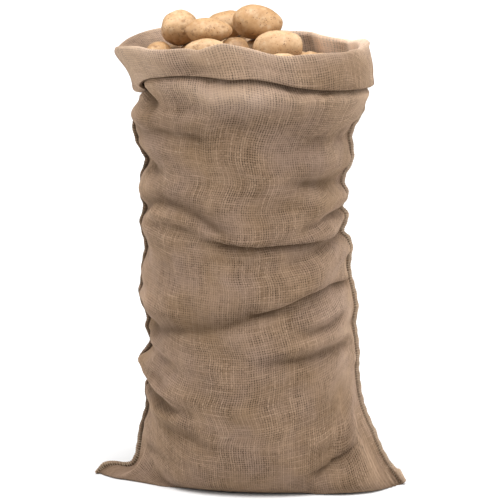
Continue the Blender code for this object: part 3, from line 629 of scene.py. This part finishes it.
def seam_columns(roots, f, way):
    """The seam standing out between its two roots, on the left (way -1) or the right (way 1): out along one
    cloth's edge and back along the other's.
    """
    root = roots.mean(axis=1)
    course = np.gradient(root[:, [0, 2]], axis=0)
    course = np.stack([evened(course[:, k], 6) for k in (0, 1)], axis=1)
    course /= np.maximum(np.linalg.norm(course, axis=1), 1e-6)[:, None]
    lean = SEAM_LEANS_BACK[way] * smooth((f - 0.035) / 0.08)
    stand = np.stack([way * course[:, 1], lean, -way * course[:, 0]], axis=1)
    stand /= np.linalg.norm(stand, axis=1)[:, None]
    stub = SEAM_STUB[way]
    size = sewn_at(f) * (stub + (1 - stub) * smooth(f / 0.012))
    z = root[:, 2]
    ripple = 1.6 * np.sin(z * 0.21 + way) + 1.1 * np.sin(z * 0.37 + 2 * way)
    columns = []
    ball = bell(f - 0.008, 0.011) if way > 0 else 0 * f
    for reach, apart in SEAM_SECTION + [(r, -a) for r, a in SEAM_SECTION[::-1]]:
        thick = 1.0 + EAR_BALL * ball * (reach > 0.5)
        flat = np.array([0.0, 1.0, 0.0]) * (apart * LAYERS_APART * -way * thick)[:, None]
        out = stand * (SEAM_STANDS * reach * size * (1 + 0.08 * np.sin(z * 0.29) + 1.1 * ball))[:, None]
        wave = np.stack([0 * z, ripple * reach * size, 0 * z], axis=1)
        spread = 0.65 + 0.35 * size[:, None]
        columns.append(root + out + wave + flat * spread)
    return columns


def cloth_grid():
    """Points and weave coordinates of the whole cloth, in rows up it and columns once round it."""
    # Rows up the base, up the body, and on behind the cuff.
    base = np.linspace(0.0, 0.17, 26)
    body = np.linspace(0.17, 0.905, 152)[1:]
    under = np.linspace(0.905, 1 - RIM_TURN / GUIDE_LENGTH, 12)[1:]
    f = np.concatenate([base, body, under])
    panels = [np.concatenate([wall(f[:, None], t, side), cuff(t, side)]) for side, t in PANEL_T.items()]
    darks = [panel[..., 3] for panel in panels]
    panels = [panel[..., :3] for panel in panels]
    front, back = panels
    f = np.concatenate([f, np.ones(len(front) - len(f))])
    right = seam_columns(np.stack([front[:, -1], back[:, 0]], axis=1), f, 1)
    left = seam_columns(np.stack([back[:, -1], front[:, 0]], axis=1), f, -1)
    points = np.concatenate([front, np.stack(right, 1), back, np.stack(left, 1), front[:, :1]], axis=1)
    across = np.linspace(-0.5, 0.5, PANEL_COLUMNS + 1) * PANEL_WIDTH
    edge = 0.5 * PANEL_WIDTH
    back_across = edge + SEAM_WIDTH + np.linspace(0.0, PANEL_WIDTH, PANEL_COLUMNS + 1)
    back_edge = back_across[-1]
    u = [across, edge + ACROSS_SEAM, back_across, back_edge + ACROSS_SEAM, [back_edge + SEAM_WIDTH]]
    u = np.concatenate(u)
    steps = np.linalg.norm(np.diff(points, axis=0), axis=2)
    steps = np.array([evened(row, 12, "wrap") for row in steps])
    v = np.concatenate([np.zeros((1, len(u))), np.cumsum(steps, axis=0)]) * MM
    return points, u, v, shades(panels, darks, f)


def hollows(points, cuff_start):
    """How deep each point lies in a crease, from 0 to 1, against the level of the cloth round it."""
    def shifted(rows, columns):
        padded = np.pad(points, ((abs(rows), abs(rows)), (0, 0), (0, 0)), mode="edge")
        start = abs(rows) + rows
        return np.roll(padded[start : start + len(points)], columns, axis=1)

    along = shifted(2, 0) - shifted(-2, 0)
    across = shifted(0, -2) - shifted(0, 2)
    normal = np.cross(across, along)
    normal /= np.maximum(np.linalg.norm(normal, axis=2), 1e-6)[..., None]
    normal[cuff_start:] *= -1
    depth = np.zeros(points.shape[:2])
    for reach in (3, 6):
        around = sum(shifted(r * reach, c * reach) for r, c in ((1, 0), (-1, 0), (0, 1), (0, -1))) / 4
        depth += np.maximum(((around - points) * normal).sum(axis=2), 0.0) / reach
    depth[cuff_start - 4 : cuff_start + 6] = 0.0
    return smooth((depth - 0.25) / 1.6)


def shades(panels, darks, f):
    """The painted light and shade of every point of the grid, from its folds, hollows and place."""
    cuff_start = int(np.sum(f < 1.0))
    sewn = sewn_at(f)
    sides = []
    for (side, t), points, dark in zip(PANEL_T.items(), panels, darks):
        # Painted shade in the hollows, with the folds' painted light and shade.
        shade = np.minimum(HOLLOW_TONE * hollows(points, cuff_start) + dark, 1.0)
        # Painted shade in a crease under the cuff's lower edge.
        gap = points[:, :, 2] - CUFF_EDGE[side](t)
        crease = bell(gap, CREASE(t)) * (gap < 0) + (gap >= 0)
        crease *= np.interp(t, (-0.05, 0.15), CREASE_TONE) * (gap < 8)
        shade[:cuff_start] += ((1 - shade) * crease)[:cuff_start]
        # Painted light inside the mouth, over the rim and down the front of the cuff.
        rim_light = height_along(RIM_LIGHT[side])(t)
        inside = smooth((points[:, :, 2] - INSIDE_FROM) / 25) * rim_light
        shade[:cuff_start] = np.where(gap > 12, shade - inside, shade)[:cuff_start]
        over_rim = smooth(np.linspace(1.2, 0, OVER_RIM_ROWS))[:, None]
        shade[cuff_start : cuff_start + OVER_RIM_ROWS] -= over_rim * rim_light
        if side < 0:
            shade[cuff_start:] -= height_along(CUFF_LIGHT)(t)
        # Full painted shade on the hem behind the cuff.
        shade[-HEM_ROWS:] = 1.0
        # Painted shade along the grooves beside the seams.
        at_seams = (0, -1) if side < 0 else (-1, 0)
        for column, tone in zip(at_seams, GROOVE_TONE):
            shade[:, column] += (tone - shade[:, column]) * sewn
        sides.append(shade)
    # Painted shade in the seams' grooves, and painted light on the right seam's edge.
    seams = []
    for groove, light, before, after in (
        (GROOVE_TONE[1], EDGE_LIGHT, *sides),
        (GROOVE_TONE[0], 0, *sides[::-1]),
    ):
        bare = (1 - sewn) * 0.5 * (before[:, -1] + after[:, 0])
        root = bare + sewn * 0.8 * groove
        seams.append(np.stack([root] + [bare - light * sewn] * 4 + [root], axis=1))
    return np.concatenate([sides[0], seams[0], sides[1], seams[1], sides[0][:, :1]], axis=1)


def sheet_of(bm, points, u, v, shade):
    """A grid moved to the points, with its weave coordinates and its painted light and shade."""
    rows, columns = points.shape[:2]
    bmesh.ops.create_grid(bm, x_segments=columns - 1, y_segments=rows - 1, size=1.0)
    bm.verts.ensure_lookup_table()
    layer = bm.loops.layers.uv.new("weave")
    painted_light_shade = bm.verts.layers.float.new("painted_light_shade")
    for k, vert in enumerate(bm.verts):
        vert.co = Vector(points[k // columns, k % columns] * MM)
        vert[painted_light_shade] = shade[k // columns, k % columns]
    for face in bm.faces:
        for loop in face.loops:
            row, column = divmod(loop.vert.index, columns)
            loop[layer].uv = (u[column], v[row, column])


def add_piece(name, bm, look, slot=None):
    """A finished piece from its bmesh; without a slot it is part of the studio."""
    mesh = bpy.data.meshes.new(name)
    bm.to_mesh(mesh)
    bm.free()
    mesh.materials.append(look)
    mesh.shade_smooth()
    piece = bpy.data.objects.new(name, mesh)
    bpy.context.scene.collection.objects.link(piece)
    if slot:
        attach(piece, "root")
    return piece


def cloth(look):
    """The whole cloth as one piece, and the points of its grid in mm."""
    points, u, v, shade = cloth_grid()
    bm = bmesh.new()
    sheet_of(bm, points, u, v, shade)
    bmesh.ops.remove_doubles(bm, verts=bm.verts, dist=0.02 * MM)
    bmesh.ops.recalc_face_normals(bm, faces=bm.faces)
    piece = add_piece("cloth", bm, look, "hessian")
    thickness = piece.modifiers.new("thickness", "SOLIDIFY")
    thickness.thickness = CLOTH * MM
    thickness.offset = 0.0
    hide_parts("sack")
    return piece, points


def stitch_ring():
    """One turn of sewing yarn: a ring of radius 1, thin, about the z axis."""
    bm = bmesh.new()
    circle = bmesh.ops.create_circle(bm, segments=5, radius=0.17)["verts"]
    bmesh.ops.rotate(bm, verts=circle, matrix=Matrix.Rotation(math.radians(90), 3, "X"))
    bmesh.ops.translate(bm, verts=circle, vec=(1.0, 0.0, 0.0))
    geom = circle + list(bm.edges)
    bmesh.ops.spin(
        bm, geom=geom, cent=(0, 0, 0), axis=(0, 0, 1), angle=2 * math.pi, steps=12, use_merge=True
    )
    bmesh.ops.remove_doubles(bm, verts=bm.verts, dist=0.001)
    bmesh.ops.recalc_face_normals(bm, faces=bm.faces)
    mesh = bpy.data.meshes.new("stitch_turn")
    bm.to_mesh(mesh)
    bm.free()
    return mesh


def overcast(name, look, grid, first, seed, pitch):
    """Turns of yarn round the standing seam that starts at a column of the grid, up to where it tapers."""
    sewn = grid[:SEWN_ROWS]
    root = 0.5 * (sewn[:, first - 1] + sewn[:, first + len(ACROSS_SEAM)])
    tip = 0.5 * (sewn[:, first + 2] + sewn[:, first + 3])
    draw = random.Random(seed)
    turn_mesh = stitch_ring()
    bm = bmesh.new()
    middle = 0.5 * (root + tip)
    along = np.concatenate([[0.0], np.cumsum(np.linalg.norm(np.diff(middle, axis=0), axis=1))])
    at = 3.0
    while at < along[-1] - 2.0:
        here, ahead = [np.array([np.interp(at + d, along, middle[:, k]) for k in range(3)]) for d in (-3, 3)]
        out = np.array([np.interp(at, along, (tip - root)[:, k]) for k in range(3)])
        course = Vector(ahead - here).normalized()
        stand = Vector(out).normalized()
        side = course.cross(stand).normalized()
        slant = math.radians(draw.uniform(14, 30))
        axis = (course * math.cos(slant) + side * math.sin(slant)).normalized()
        flat = axis.cross(stand).normalized()
        sizes = (0.5 * np.linalg.norm(out) + YARN_PAST, YARN_ACROSS, YARN_THICK)
        place = Matrix.Identity(4)
        for k, (way, size) in enumerate(zip((stand, flat, axis), sizes)):
            for j in range(3):
                place[j][k] = way[j] * size * MM
        for j in range(3):
            place[j][3] = (0.5 * (here + ahead))[j] * MM
        before = len(bm.verts)
        bm.from_mesh(turn_mesh)
        bm.verts.ensure_lookup_table()
        bmesh.ops.transform(bm, matrix=place, verts=bm.verts[before:])
        at += draw.uniform(0.85, 1.15) * pitch
    bpy.data.meshes.remove(turn_mesh)
    bmesh.ops.recalc_face_normals(bm, faces=bm.faces)
    return add_piece(name, bm, look, "hessian")


def potato_shape(potato, number, rings, sides):
    """A lumpy egg shape with dented eyes, longest along its own x before it is turned."""
    draw = random.Random(number)
    bm = bmesh.new()
    bmesh.ops.create_uvsphere(bm, u_segments=sides, v_segments=rings, radius=0.5)
    bmesh.ops.rotate(bm, verts=bm.verts, matrix=Matrix.Rotation(math.radians(90), 3, "Y"))
    eyes = []
    for _ in range(draw.randint(6, 9)):
        way = Vector((draw.uniform(-0.9, 0.9), draw.uniform(-1, 1), draw.uniform(-1, 1))).normalized()
        eyes.append((way * 0.5, draw.uniform(2.6, 4.2), draw.uniform(0.8, 1.7)))
    mark = bm.verts.layers.float.new("eye")
    skin_tan_and_shade = bm.verts.layers.float.new("skin_tan_and_shade")
    tan_and_shade = TAN_AND_SHADE.get(number, draw.uniform(0.1, 0.9))
    for vert in bm.verts:
        unit = vert.co.copy()
        lump = 1.0 + 0.10 * noise.noise(unit * 2.2 + Vector((number * 7.3, number * 2.1, 0)))
        egg = 1.0 + 0.16 * unit.x * (1 if number % 2 else -1)
        bent = 0.10 * (unit.x**2 - 0.08) * (1 if number % 3 else -1)
        x, y, z = unit * lump
        where = Vector((x * potato.long, (y * egg + bent) * potato.broad, z * egg * potato.high))
        vert[skin_tan_and_shade] = tan_and_shade
        dent = 0.0
        for eye, size, deep in eyes:
            gap = (unit - eye) * potato.broad
            near = math.exp(-((gap.length / size) ** 2))
            dent += deep * near
            vert[mark] = max(vert[mark], near)
        fine = 0.35 * noise.noise(where * 0.13 + Vector((0, 0, number * 3.0)))
        vert.co = where + unit.normalized() * (fine - dent)
    turn = Euler((0, math.radians(-potato.tilt), math.radians(potato.turn))).to_matrix()
    bmesh.ops.rotate(bm, verts=bm.verts, matrix=turn)
    bmesh.ops.scale(bm, verts=bm.verts, vec=(MM, MM, MM))
    bmesh.ops.recalc_face_normals(bm, faces=bm.faces)
    return bm


def middle_of(bm):
    places = np.array([vert.co for vert in bm.verts])
    return Vector(0.5 * (places.min(axis=0) + places.max(axis=0)))


def potatoes(look):
    """Every potato at the mouth, shaped in the middle of its own solid's box."""
    for number, potato in enumerate(POTATOES, start=1):
        node = f"potato_{number:02d}"
        bm = potato_shape(potato, number, 40, 56)
        low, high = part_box(node)
        bmesh.ops.translate(bm, verts=bm.verts, vec=0.5 * (low + high) - middle_of(bm))
        piece = add_piece(f"spud_{number:02d}", bm, look, "potato_skin")
        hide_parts(node)


def potatoes_below(look):
    """The next layer down, seen only through the chinks, bedded in what lies under it."""
    top_of_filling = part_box("filling")[1].z
    bm = bmesh.new()
    bm.from_mesh(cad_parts["filling"].data)
    bmesh.ops.remove_doubles(bm, verts=bm.verts, dist=0.01 * MM)
    for vert in bm.verts:
        vert.co.z = min(vert.co.z, BED_TOP * MM)
        vert.co.x *= BED_INSET
        vert.co.y *= BED_INSET
    draw = random.Random(77)
    number = 40
    for row, y in enumerate(range(-118, 120, 47)):
        for x in range(-160 + 28 * (row % 2), 170, 58):
            if (x / BELOW_OVAL[0]) ** 2 + (y / BELOW_OVAL[1]) ** 2 > 0.86:
                continue
            number += 1
            sizes = [draw.uniform(low, high) for low, high in ((62, 78), (50, 60), (46, 54), (0, 180))]
            shape = Potato(*sizes, tilt=0)
            one = potato_shape(shape, number, 12, 18)
            mesh = bpy.data.meshes.new("below")
            top = top_of_filling - 0.012 - 0.00022 * max(0, x)
            bmesh.ops.translate(one, verts=one.verts, vec=(x * MM, y * MM, top - 0.5 * shape.high * MM))
            one.to_mesh(mesh)
            one.free()
            bm.from_mesh(mesh)
            bpy.data.meshes.remove(mesh)
    bmesh.ops.recalc_face_normals(bm, faces=bm.faces)
    piece = add_piece("spuds_below", bm, look, "potato_skin")
    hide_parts("filling")


def yarns(look, across, along, seed):
    """One set of yarns side by side, counted by across: their round height, tint and thickness, 0 to 1."""
    number = across.floor()
    jitter = look.noise(look.vector(number * 7.13, along * 0.05, seed), 1.0, 1.0)
    thickness = look.noise(look.vector(number * 3.71, along * 0.11, seed + 5), 1.0, 2.0)
    tint = look.noise(look.vector(number * 5.3, along * 0.05, seed + 9), 1.0, 1.0)
    half = thickness.spread(0.25, 0.75, 0.29, 0.42)
    off = across - number - 0.5 + (jitter - 0.5) * 0.4
    rounded = (1 - (off / half) ** 2).at_least(0.0).root()
    return rounded, tint, thickness


def hessian_look():
    """Plain-woven jute, with painted shade between and beside its yarns, and the cloth's painted light and
    shade.
    """
    look = Look(
        "hessian_weave",
        Roughness=0.95,
        Diffuse_Roughness=1.0,
        Sheen_Weight=0.2,
        Sheen_Roughness=0.5,
        Sheen_Tint=(0.8, 0.58, 0.42, 1.0),
        Specular_IOR_Level=0.12,
    )
    place = look.node("UVMap", {"uv_map": "weave"})
    u, v = look.parts(place)[:2]
    wander = look.noise(place, 22.0, 2.0)
    sway = look.noise(look.vector(u + 3.1, v), 20.0, 2.0)
    across = u / YARN_PITCH + (wander - 0.5) * 0.9
    up = v / YARN_PITCH + (sway - 0.5) * 0.9
    warp_round, warp_tint, warp_thick = yarns(look, across, up, 1.0)
    weft_round, weft_tint, weft_thick = yarns(look, up, across, 31.0)
    crossing = ((up.floor() + across.floor()) * math.pi).cosine()
    warp_high = warp_round * (crossing * 0.2 + 0.8)
    weft_high = weft_round * (crossing * -0.2 + 0.6)
    height = warp_high.at_least(weft_high)
    on_top = warp_high > weft_high
    tint = on_top * warp_tint + (1 - on_top) * weft_tint
    yarn = look.mix(tint.spread(0.3, 0.7), JUTE_DARK, JUTE_PALE)
    patch = look.noise(place, 7.0, 3.0, 0.6)
    yarn = look.mix(patch.spread(0.42, 0.62, 0.0, 0.6), yarn, JUTE_GREY)
    olive = look.noise(look.vector(u, v, 9.0), 9.0, 2.0, 0.5)
    yarn = look.mix(olive.spread(0.5, 0.68, 0.0, 0.45), yarn, JUTE_OLIVE)
    slub = weft_thick.spread(0.66, 0.76) * (1 - on_top) + warp_thick.spread(0.7, 0.8) * on_top
    yarn = look.mix(slub * 0.5, yarn, SLUB)
    # The painted shade in the gaps shows less in places, and least at the ears, where the drawn weave is
    # stretched.
    clear = look.noise(look.vector(u, v, 4.0), 16.0, 3.0, 0.6).spread(0.38, 0.6, 0.4, 1.0)
    seam = 0.5 * (PANEL_WIDTH + SEAM_WIDTH)
    off_seam = (u - seam).size().at_most((u - 3 * seam).size()).at_most((u + seam).size())
    at_ear = off_seam.spread(0.03, 0.09, 1.0, 0.0) * v.spread(0.05, 0.16, 1.0, 0.0)
    clear = clear * (1 - at_ear * 0.65)
    number = look.vector(across.floor(), up.floor())
    cell = look.node("TexWhiteNoise", {"noise_dimensions": "2D"}, {"Vector": number})
    # Painted shade where the yarns dip and in the gaps between them.
    gap_shade = (1 - height.spread(0.05, 0.75)) * clear * (cell * 1.2 + 0.4) + at_ear * 0.12
    colour = look.mix(gap_shade, yarn, GAP_SHADE)
    fibres = look.noise(look.vector(u * 1.5, v * 0.7, 2.0), 420.0, 3.0, 0.7)
    colour = look.mix(fibres.spread(0.5, 0.72, 0.0, 0.4), colour, FIBRE)
    # Painted shade where the tone is above 0, and painted light where it is below.
    painted_light_shade = look.attribute("painted_light_shade")
    colour = look.mix(painted_light_shade.at_least(0.0) * 0.85, colour, SHADE)
    lit = (painted_light_shade * -1.0).at_least(0.0)
    colour = look.mix(lit * 0.25, colour, PAINTED_LIGHT)
    paler = lit * 0.65 + 0.97
    look.feed("Base Color", look.node("VectorMath", {"operation": "SCALE"}, {0: colour, 3: paler}))
    look.relief(height * clear, 0.0005, 0.7)
    return look.material


def yarn_look(name, dark, pale):
    """Jute sewing yarn between two colours, and another colour down at the bottom corners."""
    look = Look(name, Roughness=0.95, Specular_IOR_Level=0.1)
    place = look.object_place()
    height = look.parts(place)[2]
    patch = look.noise(place, 90.0, 3.0)
    fibre = look.noise(place, 420.0, 2.0)
    patchy_yarn = look.mix(patch.spread(0.3, 0.7), dark, pale)
    corner_yarn = look.mix(patch.spread(0.3, 0.7), *CORNER_YARN)
    yarn = look.mix(height.spread(0.05, 0.11), corner_yarn, patchy_yarn)
    look.feed("Base Color", look.mix(fibre.spread(0.52, 0.66) * 0.5, yarn, YARN_FIBRE))
    look.relief(fibre, 0.0006, 0.7)
    return look.material


def potato_look():
    """Potato skin: mottled, with soil, specks and old scars, darker in its eyes, and painted shade on those
    in shadow.
    """
    look = Look("potato_skin_look", Specular_IOR_Level=0.35)
    place = look.object_place()
    broad = look.noise(place, 22.0, 2.0)
    pale_skin = look.mix(broad.spread(0.3, 0.7), *PALE_SKIN)
    tan_skin = look.mix(broad.spread(0.3, 0.7), *TAN_SKIN)
    tan_and_shade = look.attribute("skin_tan_and_shade")
    skin = look.mix(tan_and_shade, pale_skin, tan_skin)
    # Painted shade on potatoes that lie in shadow, where the tone is above 1.
    skin = look.mix((tan_and_shade - 1.0).at_least(0.0) * 1.3, skin, PAINTED_SHADE_SKIN)
    mottle = look.noise(place, 130.0, 5.0, 0.65)
    skin = look.mix(mottle.spread(0.46, 0.7) * 0.7, skin, MOTTLE)
    bloom = look.noise(place, 75.0, 3.0)
    skin = look.mix(bloom.spread(0.52, 0.72) * 0.5, skin, BLOOM)
    soil = look.noise(place, 300.0, 4.0, 0.7) * look.noise(place, 40.0, 2.0).spread(0.45, 0.65)
    skin = look.mix(soil.spread(0.42, 0.6) * 0.7, skin, SOIL)
    dots = look.node("TexVoronoi", {"feature": "F1"}, {"Vector": place, "Scale": 210.0})
    thin_out = look.noise(place, 60.0, 1.0).spread(0.36, 0.56)
    speck = (1 - dots.spread(0.14, 0.26)) * thin_out
    skin = look.mix(speck * 0.85, skin, SPECK)
    scuff = look.noise(place, 48.0, 6.0, 0.75)
    line = (scuff - 0.5).size().spread(0.0, 0.012, 1.0, 0.0) * look.noise(place, 30.0, 1.0).spread(0.55, 0.7)
    skin = look.mix(line * 0.6, skin, SCAR)
    eye = look.attribute("eye")
    skin = look.mix(eye.spread(0.25, 0.95) * 0.7, skin, EYE)
    look.feed("Base Color", skin)
    look.feed("Roughness", mottle.spread(0.3, 0.7, 0.42, 0.62))
    look.relief(mottle * 0.6 + speck * -0.8, 0.0006, 0.8)
    return look.material


def studio():
    """A pale floor, a white world, and three soft lamps: (name, azimuth, elevation, strength, width)."""
    floor_look = Look("studio_floor", Roughness=0.9, Base_Color=(0.7, 0.7, 0.7, 1.0)).material
    bm = bmesh.new()
    bmesh.ops.create_grid(bm, x_segments=1, y_segments=1, size=40.0)
    floor = add_piece("studio_floor", bm, floor_look)
    world = bpy.data.worlds.new("studio")
    bpy.context.scene.world = world
    world.use_nodes = True
    background = world.node_tree.nodes["Background"].inputs
    background["Color"].default_value = (1, 1, 1, 1)
    background["Strength"].default_value = 0.38
    for name, azimuth, elevation, strength, width in (
        ("right_box", 72, 36, 1.75, 60),
        ("left_box", -72, 36, 1.5, 60),
        ("top_box", 8, 75, 3.7, 40),
    ):
        lamp = bpy.data.lights.new(name, "SUN")
        lamp.energy = strength
        lamp.angle = math.radians(width)
        light = bpy.data.objects.new(name, lamp)
        light.rotation_euler = Euler((math.radians(90 - elevation), 0, math.radians(azimuth)))
        bpy.context.scene.collection.objects.link(light)
    bpy.context.scene.view_settings.view_transform = "Standard"


def camera():
    """Five metres away, turned a little to the sack's right and a little above it."""
    turn, away = math.radians(8.0), 5.0
    lens = bpy.data.cameras.new("view")
    lens.lens = 197.0
    lens.sensor_width = 36.0
    lens.clip_end = 100.0
    view = bpy.data.objects.new("view", lens)
    view.location = (away * math.sin(turn), -away * math.cos(turn), 1.24)
    aim = Vector((0.0018, 0.0003, 0.431)) - view.location
    view.rotation_euler = aim.to_track_quat("-Z", "Y").to_euler()
    bpy.context.scene.collection.objects.link(view)
    bpy.context.scene.camera = view


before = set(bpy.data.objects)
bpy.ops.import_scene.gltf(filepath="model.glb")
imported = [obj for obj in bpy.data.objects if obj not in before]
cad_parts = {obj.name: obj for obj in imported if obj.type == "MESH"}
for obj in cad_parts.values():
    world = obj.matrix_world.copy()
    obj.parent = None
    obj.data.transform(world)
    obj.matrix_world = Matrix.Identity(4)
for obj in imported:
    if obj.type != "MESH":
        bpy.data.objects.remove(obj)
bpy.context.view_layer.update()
camera()
studio()
hessian = hessian_look()
# The left seam's yarn carries painted shade.
shaded_yarn = yarn_look("jute_yarn_painted_shade", *SHADED_YARN)
plain_yarn = yarn_look("jute_yarn", *PLAIN_YARN)
skin = potato_look()
sack_cloth, grid = cloth(hessian)
right_seam = PANEL_COLUMNS + 1
left_seam = 2 * right_seam + len(ACROSS_SEAM)
stitches = [
    overcast("sewing_right", plain_yarn, grid, right_seam, seed=5, pitch=4.3),
    # The left seam's yarn, darkened with painted shade.
    overcast("sewing_left", shaded_yarn, grid, left_seam, seed=9, pitch=4.6),
]
potatoes(skin)
potatoes_below(skin)
